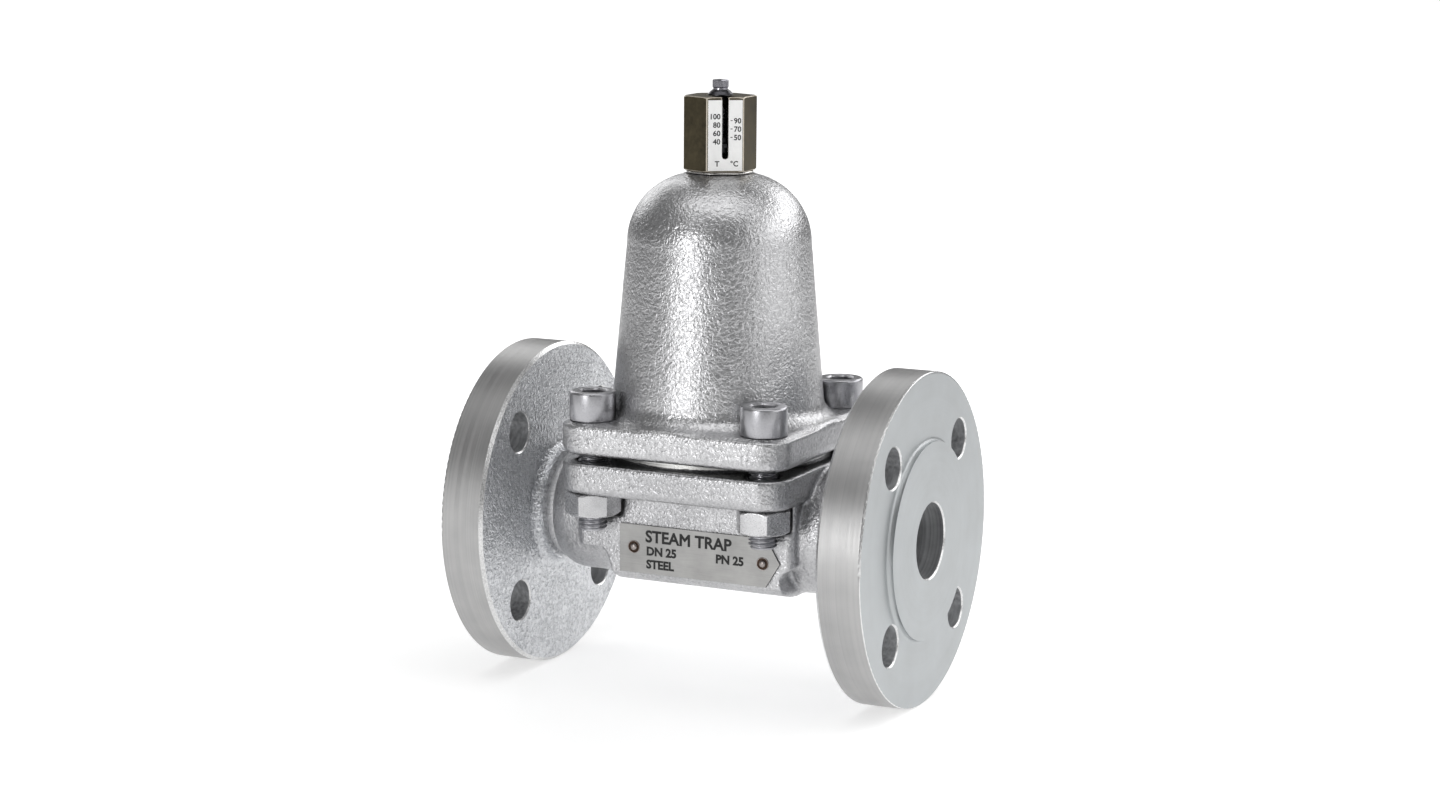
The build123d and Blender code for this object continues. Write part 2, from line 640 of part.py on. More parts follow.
write("spindle_packing", ring(SPINDLE_R + RUNNING, PACKING_R - 0.05, PACKING_Z, PACKING_Z + 4.1))
write("gland_bush", gland_bush())
write("housing_washer", ring(CAP_BORE_R + 0.3, CAP_WASHER_R, DOME_TOP, CAP_Z[0]))
write("scale_housing", scale_housing())
write("scale_plate", scale_plate())
write("pointer_nut", pointer_nut())
write("dust_washer", dust_washer())
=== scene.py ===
"""Looks of the flanged thermostatic steam trap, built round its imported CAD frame.

Metres, in the CAD frame: origin at the centre of the inlet's raised face, +X along the flow, +Z up.
"""
from math import cos, pi, radians, sin, tau

import bmesh
import bpy
from mathutils import Matrix, Vector
from mathutils.noise import noise as perlin


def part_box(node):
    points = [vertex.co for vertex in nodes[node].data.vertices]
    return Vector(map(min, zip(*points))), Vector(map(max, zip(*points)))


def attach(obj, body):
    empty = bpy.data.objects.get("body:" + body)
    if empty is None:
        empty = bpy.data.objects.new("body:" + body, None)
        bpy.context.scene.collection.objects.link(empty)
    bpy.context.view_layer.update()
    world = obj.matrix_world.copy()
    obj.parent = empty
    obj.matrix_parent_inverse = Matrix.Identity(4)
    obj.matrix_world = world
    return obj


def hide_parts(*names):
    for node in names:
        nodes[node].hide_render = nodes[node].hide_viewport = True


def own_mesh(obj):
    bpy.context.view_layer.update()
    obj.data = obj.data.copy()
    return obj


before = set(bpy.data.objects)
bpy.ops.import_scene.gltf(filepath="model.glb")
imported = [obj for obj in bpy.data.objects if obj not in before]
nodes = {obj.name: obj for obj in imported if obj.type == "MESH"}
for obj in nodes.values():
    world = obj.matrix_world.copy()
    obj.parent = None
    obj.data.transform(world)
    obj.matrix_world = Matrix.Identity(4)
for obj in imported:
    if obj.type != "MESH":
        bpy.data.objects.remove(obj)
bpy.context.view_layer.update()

# ---------------------------------------------------------------- places and sizes
COVER_LOW, COVER_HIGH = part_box("cover")
AXIS_X = (COVER_LOW[0] + COVER_HIGH[0]) / 2
FLOOR_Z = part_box("inlet_flange")[0][2]

# mesh work: merging distance, angles in degrees of an edge and of a flat face, sides of a round
MERGE = 1e-6
SHARP = 30
FLAT = 0.5
SIDES = 72

# machined gasket land in the cover joint
LAND_R = 0.0385
LAND_H = 0.0016
LAND_SIDES = 180

# pipe flanges, DN 25 PN 25
FLANGE_T = 0.018
RAISED_H = 0.002
FLANGE_R = 0.0575
BOLT_CIRCLE_R = 0.0425
BOLT_HOLE_R = 0.007
BORE_R = 0.013
DEBURR = 0.0005
EDGE_BEVEL = 0.0005

# cover screws and nuts, M10
SCREW_LOW, SCREW_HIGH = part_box("cover_screws")
NUT_LOW, NUT_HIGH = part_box("cover_nuts")
HEAD_R = 0.008
HEAD_H = 0.010
HEAD_EDGE = 0.0009
HEAD_FOOT = 0.0004
THREAD_R = (0.00408, 0.005)
THREAD_PITCH = 0.0015
THREAD_STEPS = 10
THREAD_LENGTH = 0.032
SOCKET_AF = 0.008
SOCKET_DEPTH = 0.005
BOLT_HALF = (SCREW_HIGH[0] - SCREW_LOW[0]) / 2 - HEAD_R
BOLTS = [(AXIS_X + sx * BOLT_HALF, sy * BOLT_HALF) for sx in (-1, 1) for sy in (-1, 1)]
SCREW_TURNS = (12.0, 47.0, 28.0, 5.0)
NUT_AF = 0.017
NUT_CHAMFER = (0.00008, 0.0002, 0.00035, 0.0005, 0.00065, 0.0008, 0.00095, 0.0011)
NUT_TURNS = (57.0, 81.0, 32.0, 68.0)

# name plate
PLATE_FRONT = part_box("name_plate")[0][1]
PLATE_BEVEL = 0.00036
PLATE_STROKE = 0.00019
TITLE, SMALL = 0.0042, 0.0030
RIVETS = ((0.0608, -0.0069), (0.1096, -0.0078))
RIVET_GROOVE = (0.00122, 0.00200)

# seal washer under the housing
WASHER_BORE = 0.0079
WASHER_EDGE = 0.0006

# hexagonal housing with the scale on one flat
HOUSING_LOW, HOUSING_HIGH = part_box("scale_housing")
HOUSING_BORE = 0.0078
HOUSING_BEVEL = 0.0003
SCALE_BEVEL = 0.00008
SCALE_TURN = 34.0
SCALE_FACE = 0.0115
SCALE_ZERO = 0.1326
SCALE_STEP = 0.00283
SCALE_STROKE = 0.00006
SLOT_HALF = 0.0011
SLOT_FROM = 0.004
FIGURE = 0.00185
FIGURE_GAP = 0.0006
LEGEND_Z = HOUSING_LOW[2] + 0.0022
TICK_AT = SLOT_HALF + 0.0010
TICK_SIZE = (0.0007, 0.00026)

# print: its thickness, and the share of the font's size that the capitals fill
PRINT_DEPTH = 0.00003
CAP_SHARE = 0.729


# ---------------------------------------------------------------- material helpers
SCRATCH_DEPTH = 0.00001


def new_material(name):
    """Empty node material with its Principled shader and output."""
    mat = bpy.data.materials.new(name)
    mat.use_nodes = True
    tree = mat.node_tree
    tree.nodes.clear()
    out = tree.nodes.new("ShaderNodeOutputMaterial")
    shader = tree.nodes.new("ShaderNodeBsdfPrincipled")
    tree.links.new(shader.outputs["BSDF"], out.inputs["Surface"])
    return mat, tree, shader


def node(tree, kind, **values):
    """New shader node with properties and input values set by name."""
    made = tree.nodes.new(kind)
    for key, value in values.items():
        if key in made.inputs:
            made.inputs[key].default_value = value
        else:
            setattr(made, key, value)
    return made


def noise(tree, vector, scale, detail, roughness, distortion=0.0):
    """Noise value over a coordinate, at a scale in features per metre."""
    made = node(
        tree, "ShaderNodeTexNoise", Scale=scale, Detail=detail, Roughness=roughness, Distortion=distortion)
    tree.links.new(vector, made.inputs["Vector"])
    return made.outputs["Fac"]


def position(tree):
    """Object coordinates, which are the frame's own metres."""
    return node(tree, "ShaderNodeTexCoord").outputs["Object"]


def ramp(tree, value, stops):
    """Colour ramp through (position, colour) stops."""
    made = node(tree, "ShaderNodeValToRGB")
    elements = made.color_ramp.elements
    while len(elements) < len(stops):
        elements.new(0.5)
    for element, (place, colour) in zip(elements, stops):
        element.position = place
        element.color = (*colour, 1.0)
    tree.links.new(value, made.inputs["Fac"])
    return made.outputs["Color"]


def span(tree, value, low, high, to_low, to_high):
    """Value mapped linearly from one range to another and clamped."""
    made = node(tree, "ShaderNodeMapRange")
    for name, number in (("From Min", low), ("From Max", high), ("To Min", to_low), ("To Max", to_high)):
        made.inputs[name].default_value = number
    tree.links.new(value, made.inputs["Value"])
    return made.outputs["Result"]


def add(tree, first, second, weight):
    """first + second * weight."""
    made = node(tree, "ShaderNodeMath", operation="MULTIPLY_ADD")
    tree.links.new(second, made.inputs[0])
    made.inputs[1].default_value = weight
    tree.links.new(first, made.inputs[2])
    return made.outputs[0]


def bump(tree, shader, height, depth):
    """Bump from a height value; depth is the height of a full step, in metres."""
    made = node(tree, "ShaderNodeBump", Strength=1.0, Distance=depth)
    tree.links.new(height, made.inputs["Height"])
    tree.links.new(made.outputs["Normal"], shader.inputs["Normal"])


def stretched(tree, factors):
    """Object coordinates scaled along each axis, for brushed or turned marks."""
    made = node(tree, "ShaderNodeVectorMath", operation="MULTIPLY")
    tree.links.new(position(tree), made.inputs[0])
    made.inputs[1].default_value = factors
    return made.outputs["Vector"]


def turned(tree):
    """Coordinates (along the flow axis, distance from it), for turned marks."""
    length = node(tree, "ShaderNodeVectorMath", operation="LENGTH")
    tree.links.new(stretched(tree, (0, 1, 1)), length.inputs[0])
    parts = node(tree, "ShaderNodeSeparateXYZ")
    tree.links.new(position(tree), parts.inputs[0])
    pair = node(tree, "ShaderNodeCombineXYZ")
    tree.links.new(parts.outputs["X"], pair.inputs["X"])
    tree.links.new(length.outputs["Value"], pair.inputs["Y"])
    return pair.outputs["Vector"]


def cavity(tree, colour, reach, darkest):
    """Painted shade: colour darkened where the surface is hemmed in within a reach in metres, where shade
    falls.
    """
    shade = node(tree, "ShaderNodeAmbientOcclusion", samples=6, Distance=reach)
    level = span(tree, shade.outputs["AO"], 0.25, 0.95, darkest, 1.0)
    made = node(tree, "ShaderNodeVectorMath", operation="SCALE")
    tree.links.new(colour, made.inputs[0])
    tree.links.new(level, made.inputs["Scale"])
    return made.outputs["Vector"]


def cast_paint(name, light, dark, grain, depth, rough, metallic=0.95, shade_darkest=0.45):
    """Silver paint on a casting: lumps of a grain and depth, fine grit, faint clouds, painted shade in the
    corners.
    """
    mat, tree, shader = new_material(name)
    place = position(tree)
    clouds = noise(tree, place, 45, 3, 0.6)
    lumps = noise(tree, place, grain, 1.2, 0.5, 0.7)
    grit = noise(tree, place, grain * 2.7, 2, 0.6)
    tone = add(tree, span(tree, clouds, 0.3, 0.7, 0.0, 0.3), lumps, 1.0)
    paint = ramp(tree, tone, [(0.36, dark), (0.80, light)])
    # painted shade: the paint is darkened where it is hemmed in by other surfaces
    tree.links.new(cavity(tree, paint, 0.004, shade_darkest), shader.inputs["Base Color"])
    tree.links.new(span(tree, grit, 0.3, 0.7, rough - 0.06, rough + 0.08), shader.inputs["Roughness"])
    shader.inputs["Metallic"].default_value = metallic
    bump(tree, shader, add(tree, lumps, grit, 0.15), depth)
    return mat


def turned_steel(name, light, dark, rough, grain, metallic=0.95):
    """Machined steel with fine marks round the flow axis, wider bands and faint clouding."""
    mat, tree, shader = new_material(name)
    place = turned(tree)
    marks = noise(tree, place, grain, 3, 0.7)
    bands = noise(tree, place, grain * 0.25, 2, 0.6)
    clouds = noise(tree, position(tree), 60, 3, 0.6)
    tone = add(tree, span(tree, clouds, 0.3, 0.7, 0.0, 0.25), add(tree, marks, bands, 0.6), 0.6)
    tree.links.new(ramp(tree, tone, [(0.36, dark), (0.80, light)]), shader.inputs["Base Color"])
    tree.links.new(span(tree, marks, 0.3, 0.7, rough - 0.05, rough + 0.08), shader.inputs["Roughness"])
    shader.inputs["Metallic"].default_value = metallic
    bump(tree, shader, marks, SCRATCH_DEPTH)
    return mat


def satin_steel(name, light, dark, rough, grain=1500, stretch=(1, 1, 1), metallic=1.0):
    """Satin metal with faint clouding and fine scratches, long on an axis whose stretch is under 1."""
    mat, tree, shader = new_material(name)
    marks = noise(tree, stretched(tree, stretch), grain, 3, 0.65)
    clouds = noise(tree, position(tree), 90, 3, 0.6)
    tone = add(tree, clouds, marks, 0.6)
    tree.links.new(ramp(tree, tone, [(0.45, dark), (1.1, light)]), shader.inputs["Base Color"])
    tree.links.new(span(tree, marks, 0.3, 0.7, rough - 0.06, rough + 0.08), shader.inputs["Roughness"])
    shader.inputs["Metallic"].default_value = metallic
    bump(tree, shader, marks, SCRATCH_DEPTH)
    return mat


def matt(name, light, dark, rough):
    """Matt non-metal, such as graphite or ink, with a fine grain."""
    mat, tree, shader = new_material(name)
    marks = noise(tree, position(tree), 900, 3, 0.6)
    tree.links.new(ramp(tree, marks, [(0.3, dark), (0.7, light)]), shader.inputs["Base Color"])
    tree.links.new(span(tree, marks, 0.3, 0.7, rough - 0.05, rough + 0.05), shader.inputs["Roughness"])
    bump(tree, shader, marks, 3 * SCRATCH_DEPTH)
    return mat


# ---------------------------------------------------------------- materials
# the two colours of each are its light and its dark one
# the cast paints below are darkened in their corners as painted shade
silver_cover = cast_paint(
    "cover_paint", (0.63, 0.63, 0.64), (0.45, 0.45, 0.46), grain=880, depth=0.00030, rough=0.31)
silver_body = cast_paint(
    "body_paint", (0.56, 0.56, 0.57), (0.38, 0.38, 0.39), grain=1000, depth=0.00028, rough=0.31)
flange_back = cast_paint(
    "flange_back_paint", (0.74, 0.75, 0.77), (0.44, 0.45, 0.47), grain=800, depth=0.00070, rough=0.30,
    shade_darkest=0.9)
weld_paint = cast_paint(
    "weld_paint", (0.72, 0.72, 0.73), (0.56, 0.56, 0.57), grain=1300, depth=0.00022, rough=0.46,
    metallic=0.75, shade_darkest=1.0)
# lighter paint on the flange bevels: worn edges and a painted highlight along them
edge_wear_and_highlight = cast_paint(
    "edge_wear_and_highlight", (0.78, 0.78, 0.78), (0.56, 0.56, 0.56), grain=1500, depth=0.00005, rough=0.27, shade_darkest=0.8)
bright = cast_paint(
    "bright_washer", (0.85, 0.83, 0.80), (0.62, 0.60, 0.58), grain=1500, depth=0.00002, rough=0.25,
    metallic=1.0, shade_darkest=0.1)

flange_face = turned_steel("flange_face", (0.50, 0.52, 0.53), (0.44, 0.455, 0.46), 0.44, 1400)
flange_rim = turned_steel("flange_rim", (0.48, 0.478, 0.475), (0.37, 0.368, 0.37), 0.40, 2200)
hole_steel = turned_steel("hole_steel", (0.66, 0.67, 0.68), (0.20, 0.20, 0.21), 0.42, 800, metallic=0.55)

screw_steel = satin_steel("screw_steel", (0.54, 0.54, 0.56), (0.34, 0.34, 0.36), 0.32)
nut_steel = satin_steel("nut_steel", (0.64, 0.64, 0.65), (0.38, 0.38, 0.39), 0.28)
stainless = satin_steel("stainless", (0.62, 0.62, 0.60), (0.46, 0.46, 0.45), 0.25)
joint_steel = satin_steel("joint_steel", (0.74, 0.74, 0.72), (0.50, 0.50, 0.49), 0.30)
rivet_dome = satin_steel("rivet_dome", (0.46, 0.42, 0.40), (0.24, 0.21, 0.20), 0.34)
# dark brown of the rivet grooves: painted shadow in the dimple
rivet_groove_shadow = satin_steel("rivet_groove_shadow", (0.09, 0.06, 0.045), (0.03, 0.02, 0.015), 0.5)
dark_steel = satin_steel("dark_steel", (0.10, 0.10, 0.11), (0.02, 0.02, 0.022), 0.30)
shadow_steel = satin_steel("shadow_steel", (0.030, 0.028, 0.026), (0.008, 0.008, 0.007), 0.55)
spindle_steel = satin_steel("spindle_steel", (0.62, 0.61, 0.66), (0.22, 0.22, 0.25), 0.25)
spring_wire = satin_steel("spring_wire", (0.36, 0.37, 0.39), (0.20, 0.21, 0.22), 0.30)
bimetal = satin_steel("bimetal", (0.52, 0.46, 0.36), (0.36, 0.31, 0.24), 0.32, 1800)
bronze = satin_steel("housing_bronze", (0.135, 0.112, 0.066), (0.050, 0.044, 0.028), 0.36, 700)
# light brass on the housing's bevels: worn edges and a painted highlight along them
brass_wear_and_highlight = satin_steel("brass_wear_and_highlight", (0.72, 0.66, 0.56), (0.36, 0.32, 0.26), 0.40, 700, metallic=0.6)
scale_white = satin_steel(
    "scale_plate", (1.0, 1.0, 0.99), (0.88, 0.88, 0.87), 0.42, 500, stretch=(1, 1, 0.6), metallic=0.06)

BRUSHED = (0.05, 1, 1)
plate_steel = satin_steel("plate_steel", (0.40, 0.397, 0.39), (0.28, 0.278, 0.273), 0.40, 2600, BRUSHED)
# near black on the name plate's bevels: painted shadow along its edges
plate_edge_shadow = satin_steel("plate_edge_shadow", (0.05, 0.05, 0.05), (0.015, 0.015, 0.015), 0.5, 2600, BRUSHED)

graphite = matt("graphite", (0.10, 0.10, 0.10), (0.04, 0.04, 0.04), 0.7)
ink = matt("ink", (0.012, 0.012, 0.012), (0.004, 0.004, 0.004), 0.6)

# finishes of CAD nodes that are shown as they are; the others among them are plain stainless
FINISH = {
    "cover_gasket": joint_steel, "seat_gasket": graphite, "spindle_packing": graphite,
    "dust_washer": dark_steel, "pointer_nut": dark_steel, "adjusting_spindle": spindle_steel,
    "bimetal_discs": bimetal,
}
for name, obj in nodes.items():
    obj.data.materials.clear()
    obj.data.materials.append(FINISH.get(name, stainless))


# ---------------------------------------------------------------- mesh helpers
def welded(node_name):
    """bmesh of a CAD node with its split edges joined."""
    bm = bmesh.new()
    bm.from_mesh(nodes[node_name].data)
    bmesh.ops.remove_doubles(bm, verts=bm.verts, dist=MERGE)
    return bm


def plain_mesh(bm, name):
    """Mesh with only the points and faces of a bmesh, which is freed."""
    bm.verts.index_update()
    mesh = bpy.data.meshes.new(name)
    mesh.from_pydata([v.co[:] for v in bm.verts], [], [[v.index for v in f.verts] for f in bm.faces])
    bm.free()
    mesh.shade_smooth()
    return mesh


def modified(mesh, *steps):
    """Mesh after a row of modifiers, each given as (kind, {property: value})."""
    obj = bpy.data.objects.new(mesh.name, mesh)
    bpy.context.collection.objects.link(obj)
    for kind, values in steps:
        modifier = obj.modifiers.new(kind.lower(), kind)
        for key, value in values.items():
            setattr(modifier, key, value)
    graph = bpy.context.evaluated_depsgraph_get()
    result = bpy.data.meshes.new_from_object(obj.evaluated_get(graph))
    bpy.data.objects.remove(obj)
    return result


def roughen(mesh, relief):
    """Push each point along its normal by Perlin noise; relief is (features per metre, height) pairs."""
    places = []
    for vertex in mesh.vertices:
        height = sum(high * perlin(vertex.co * scale) for scale, high in relief)
        places.extend(vertex.co + vertex.normal * height)
    mesh.vertices.foreach_set("co", places)
    mesh.update()


def cast(node_name, voxel, rounds, relief):
    """Cast form of a CAD node: remeshed at a voxel size, smoothed for some rounds, made lumpy."""
    mesh = modified(
        plain_mesh(welded(node_name), node_name + "_casting"),
        ("REMESH", {"mode": "VOXEL", "voxel_size": voxel, "use_smooth_shade": True}),
        ("SMOOTH", {"factor": 0.5, "iterations": rounds}),
    )
    roughen(mesh, relief)
    return mesh


def flattened(bm, name):
    """Mesh of a bmesh, its flat faces merged; the bmesh is freed."""
    bmesh.ops.dissolve_limit(bm, angle_limit=radians(FLAT), verts=bm.verts, edges=bm.edges)
    return plain_mesh(bm, name)


def cut(mesh, cutter):
    """Mesh less a cutter."""
    step = ("BOOLEAN", {"operation": "DIFFERENCE", "solver": "EXACT", "object": cutter})
    bm = bmesh.new()
    bm.from_mesh(modified(mesh, step))
    bmesh.ops.remove_doubles(bm, verts=bm.verts, dist=MERGE)
    return flattened(bm, mesh.name)


def machined(node_name, materials, width, clamp=True, cutter=None):
    """Copy of a CAD node, less a cutter, with sharp edges bevelled; the bevels take the second material."""
    mesh = flattened(welded(node_name), node_name + "_finished")
    if cutter:
        mesh = cut(mesh, cutter)
    for material in materials:
        mesh.materials.append(material)
    bevel = ("BEVEL", {
        "width": width, "segments": 2, "limit_method": "ANGLE", "angle_limit": radians(SHARP),
        "material": 1, "use_clamp_overlap": clamp,
    })
    mesh = modified(mesh, bevel)
    if cutter:
        mesh.set_sharp_from_angle(angle=radians(SHARP))
    return modified(mesh, ("WEIGHTED_NORMAL", {"keep_sharp": True}))


def skin(name, rings, hollow=False):
    """Mesh through rings of points: a solid gets two flat ends, a hollow one closes on itself."""
    count = len(rings[0])
    points = [point for row in rings for point in row]
    steps = len(rings) if hollow else len(rings) - 1
    faces = []
    for low in range(steps):
        high = (low + 1) % len(rings)
        for i in range(count):
            j = (i + 1) % count
            faces.append((low * count + i, low * count + j, high * count + j, high * count + i))
    if not hollow:
        faces.append(tuple(reversed(range(count))))
        faces.append(tuple(range(len(points) - count, len(points))))
    mesh = bpy.data.meshes.new(name)
    mesh.from_pydata(points, [], faces)
    mesh.shade_smooth()
    mesh.set_sharp_from_angle(angle=radians(SHARP))
    return mesh


def ring(radius, z):
    """Ring of SIDES points round the Z axis; the radius is a number or a function of the angle."""
    angles = [tau * i / SIDES for i in range(SIDES)]
    radii = [radius(a) if callable(radius) else radius for a in angles]
    return [(r * cos(a), r * sin(a), z) for r, a in zip(radii, angles)]


def hexagon(across, bluntness=70):
    """Radius by angle of a hexagon with slightly blunt corners, one flat facing +X."""
    def radius(angle):
        total = sum(abs(cos(angle - pi / 3 * i)) ** bluntness for i in range(3))
        return across / 2 * total ** (-1 / bluntness)
    return radius


def moved(mesh, turn, x, y):
    """Mesh turned about Z by an angle in degrees and moved across to its place."""
    mesh.transform(Matrix.Translation((x, y, 0)) @ Matrix.Rotation(radians(turn), 4, "Z"))
    return mesh


def joined(name, meshes):
    """One mesh from several, keeping smooth shading and sharp edges."""
    bm = bmesh.new()
    for mesh in meshes:
        bm.from_mesh(mesh)
    result = bpy.data.meshes.new(name)
    bm.to_mesh(result)
    bm.free()
    return result


def piece(mesh, body, slot, materials, *replaced):
    """Link a mesh as a new piece that rides on a body and may stand for CAD nodes."""
    obj = bpy.data.objects.new(mesh.name, mesh)
    bpy.context.collection.objects.link(obj)
    places = [face.material_index for face in mesh.polygons]
    mesh.materials.clear()
    for material in materials:
        mesh.materials.append(material)
    mesh.polygons.foreach_set("material_index", places)
    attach(obj, body)
    if replaced:
        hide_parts(*replaced)
    return obj


# ---------------------------------------------------------------- castings
COVER_RELIEF = ((200, 0.00005), (800, 0.00004))
BODY_RELIEF = ((200, 0.00006), (800, 0.00004))
cover_mesh = cast("cover", voxel=0.00081, rounds=2, relief=COVER_RELIEF)
piece(cover_mesh, "trap", "cast_cover", [silver_cover], "cover")
body_mesh = cast("body", voxel=0.0007, rounds=3, relief=BODY_RELIEF)
piece(body_mesh, "trap", "cast_body", [silver_body], "body")


def land_band():
    """Machined edge of the gasket land in the cover joint."""
    inner, outer = LAND_R - 0.001, LAND_R
    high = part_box("cover_gasket")[0][2]
    low = high - LAND_H
    section = ((inner, low), (outer, low), (outer, high), (inner, high))
    rings = []
    for i in range(LAND_SIDES):
        angle = tau * i / LAND_SIDES
        rings.append([(AXIS_X + r * cos(angle), r * sin(angle), z) for r, z in section])
    return skin("land_band", rings, hollow=True)


piece(land_band(), "trap", "cast_body", [joint_steel])


# ---------------------------------------------------------------- pipe flanges and their welds
def deburring_cones(name, outer_face, inward):
    """Cutter for the small chamfers round the bore and both ends of the bolt holes.

    Each cone starts half a chamfer outside its face and ends half a chamfer within the hole's wall.
    """
    ends = [(outer_face, inward, 0, 0, BORE_R)]
    for i in range(4):
        angle = radians(45 + 90 * i)
        y, z = BOLT_CIRCLE_R * cos(angle), BOLT_CIRCLE_R * sin(angle)
        ends.append((outer_face + inward * RAISED_H, inward, y, z, BOLT_HOLE_R))
        ends.append((outer_face + inward * FLANGE_T, -inward, y, z, BOLT_HOLE_R))
    cones = []
    for x, way, y, z, radius in ends:
        start, end = x - 0.5 * way * DEBURR, x + 1.5 * way * DEBURR
        wide = [(start, y + v, z + w) for v, w, _ in ring(radius + 1.5 * DEBURR, 0)]
        narrow = [(end, y + v, z + w) for v, w, _ in ring(radius - 0.5 * DEBURR, 0)]
        cones.append(skin(name, [wide, narrow]))
    bm = bmesh.new()
    for cone in cones:
        bm.from_mesh(cone)
    bmesh.ops.recalc_face_normals(bm, faces=bm.faces)
    return plain_mesh(bm, name)


GASKET_SIDE, BEVELS, RIM, BACK, HOLES = range(5)
FLANGE_FINISHES = [flange_face, edge_wear_and_highlight, flange_rim, flange_back, hole_steel]


def flange_finish(mesh, outer_face):
    """Give each face of a pipe flange its finish: gasket side, bevel, rim, cast back or drilled hole."""
    rim_from = FLANGE_R - 2 * EDGE_BEVEL
    holes_from = BOLT_CIRCLE_R - BOLT_HOLE_R - DEBURR
    bore_to = BORE_R + DEBURR
    for face in mesh.polygons:
        centre = face.center
        radius = Vector((centre[1], centre[2])).length
        slope = abs(face.normal[0])
        at_hole = radius > holes_from or radius < bore_to
        if slope < 0.5 and radius > rim_from:
            face.material_index = RIM
        elif slope < 0.9 and radius > rim_from - 2 * EDGE_BEVEL:
            face.material_index = BEVELS
        elif slope < 0.5 and at_hole:
            face.material_index = HOLES
        elif slope < 0.8 and at_hole:
            face.material_index = BEVELS
        elif abs(centre[0] - outer_face) < 2 * RAISED_H:
            face.material_index = GASKET_SIDE
        else:
            face.material_index = BACK


for side in ("inlet", "outlet"):
    name = side + "_flange"
    low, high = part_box(name)
    outer, inward = (low[0], 1) if side == "inlet" else (high[0], -1)
    cutter = bpy.data.objects.new("cones", deburring_cones("cones", outer, inward))
    bpy.context.collection.objects.link(cutter)
    mesh = machined(name, FLANGE_FINISHES, EDGE_BEVEL, cutter=cutter)
    bpy.data.objects.remove(cutter)
    flange_finish(mesh, outer)
    piece(mesh, "trap", "flange_steel", FLANGE_FINISHES, name)


def weld_ripples(name, node_name):
    """Butt weld with overlapping ripples round the flow axis, each trailing towards the bead's edges."""
    low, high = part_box(node_name)
    middle = (low[0] + high[0]) / 2
    half = (high[0] - low[0]) / 2
    crown, depth, trail = 0.0004, 0.0024, 0.35
    top_r = high[2] - crown
    root_r = top_r - depth
    steps, across, ripples = 630, 10, 70
    rings = []
    for i in range(steps):
        angle = tau * i / steps
        section = [(middle, root_r)]
        for j in range(across + 1):
            u = -1 + 2 * j / across
            wave = (ripples * i / steps - trail * u * u) % 1.0
            lift = crown * (1 - u * u) * (0.55 + 0.45 * wave)
            section.append((middle + u * half, top_r + lift))
        rings.append([(x, r * sin(angle), r * cos(angle)) for x, r in section])
    return skin(name, rings, hollow=True)


for side in ("inlet", "outlet"):
    node_name = side + "_weld"
    piece(weld_ripples(node_name + "_bead", node_name), "trap", "weld", [weld_paint], node_name)


# ---------------------------------------------------------------- return spring
# fixed on the seat, it keeps its CAD shape here; the real spring shortens by a little more than the valve's
# stroke and so stays off the plate
coil = plain_mesh(welded("return_spring"), "spring_coil")
spring = piece(coil, "trap", "spring_steel", [spring_wire], "return_spring")
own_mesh(spring)


# ---------------------------------------------------------------- cover screws and nuts
def thread_radius(angle, z):
    """Radius of a right-hand metric thread at an angle and height."""
    root, flanks = 0.25, 0.625
    phase = (z / THREAD_PITCH - angle / tau) % 1.0
    climb = (abs(2 * phase - 1) - root) / flanks
    return THREAD_R[0] + (THREAD_R[1] - THREAD_R[0]) * min(max(climb, 0.0), 1.0)


def screw():
    """Socket cap screw about the Z axis: thread, plain shank, head and hexagon socket."""
    tip, top = SCREW_LOW[2], SCREW_HIGH[2]
    seat = top - HEAD_H
    tip_r = THREAD_R[0] - 0.0002
    rings = []
    for i in range(int(THREAD_LENGTH / THREAD_PITCH * THREAD_STEPS) + 1):
        z = tip + i * THREAD_PITCH / THREAD_STEPS
        limit = tip_r + (z - tip)
        rings.append(ring(lambda a, z=z, limit=limit: min(thread_radius(a, z), limit), z))
    plain = tip + THREAD_LENGTH + THREAD_PITCH / 2
    rings += [ring(THREAD_R[1], plain), ring(THREAD_R[1], seat), ring(HEAD_R - HEAD_FOOT, seat)]
    rings += [ring(HEAD_R - HEAD_FOOT / 4, seat + HEAD_FOOT * 3 / 8), ring(HEAD_R, seat + HEAD_FOOT)]
    for i in range(6):
        bend = pi / 2 * i / 5
        rings.append(ring(HEAD_R - HEAD_EDGE * (1 - cos(bend)), top - HEAD_EDGE * (1 - sin(bend))))
    mouth, lip, sink = SOCKET_AF / 2 * 1.2, 0.0002, 0.0006
    bottom = top - SOCKET_DEPTH
    drill_r, drill_tip = 0.0035, 0.0012
    key = hexagon(SOCKET_AF)
    rings += [ring(mouth + lip, top), ring(mouth, top - lip / 2)]
    rings += [ring(key, top - sink), ring(key, bottom)]
    rings += [ring(drill_r, bottom - lip), ring(drill_tip, bottom - drill_tip)]
    return skin("screw", rings)


def nut():
    """Hexagon nut about the Z axis, chamfered both ends, with a countersunk bore."""
    low, high = NUT_LOW[2], NUT_HIGH[2]
    bore, sink = THREAD_R[1] + 0.00004, 0.0006
    start = NUT_AF / 2 * 0.955
    flats = hexagon(NUT_AF, 45)
    slope = 1.75

    def outside(depth):
        return lambda a: min(flats(a), start + slope * depth)

    rings = [ring(bore, low + sink), ring(bore + sink, low), ring(start, low)]
    rings += [ring(outside(depth), low + depth) for depth in NUT_CHAMFER]
    rings += [ring(outside(depth), high - depth) for depth in reversed(NUT_CHAMFER)]
    rings += [ring(start, high), ring(bore + sink, high), ring(bore, high - sink)]
    return skin("nut", rings, hollow=True)


screws = [moved(screw(), turn, *place) for turn, place in zip(SCREW_TURNS, BOLTS)]
piece(joined("cap_screws", screws), "trap", "fastener", [screw_steel], "cover_screws")
nuts = [moved(nut(), turn, *place) for turn, place in zip(NUT_TURNS, BOLTS)]
piece(joined("hexagon_nuts", nuts), "trap", "fastener", [nut_steel], "cover_nuts")


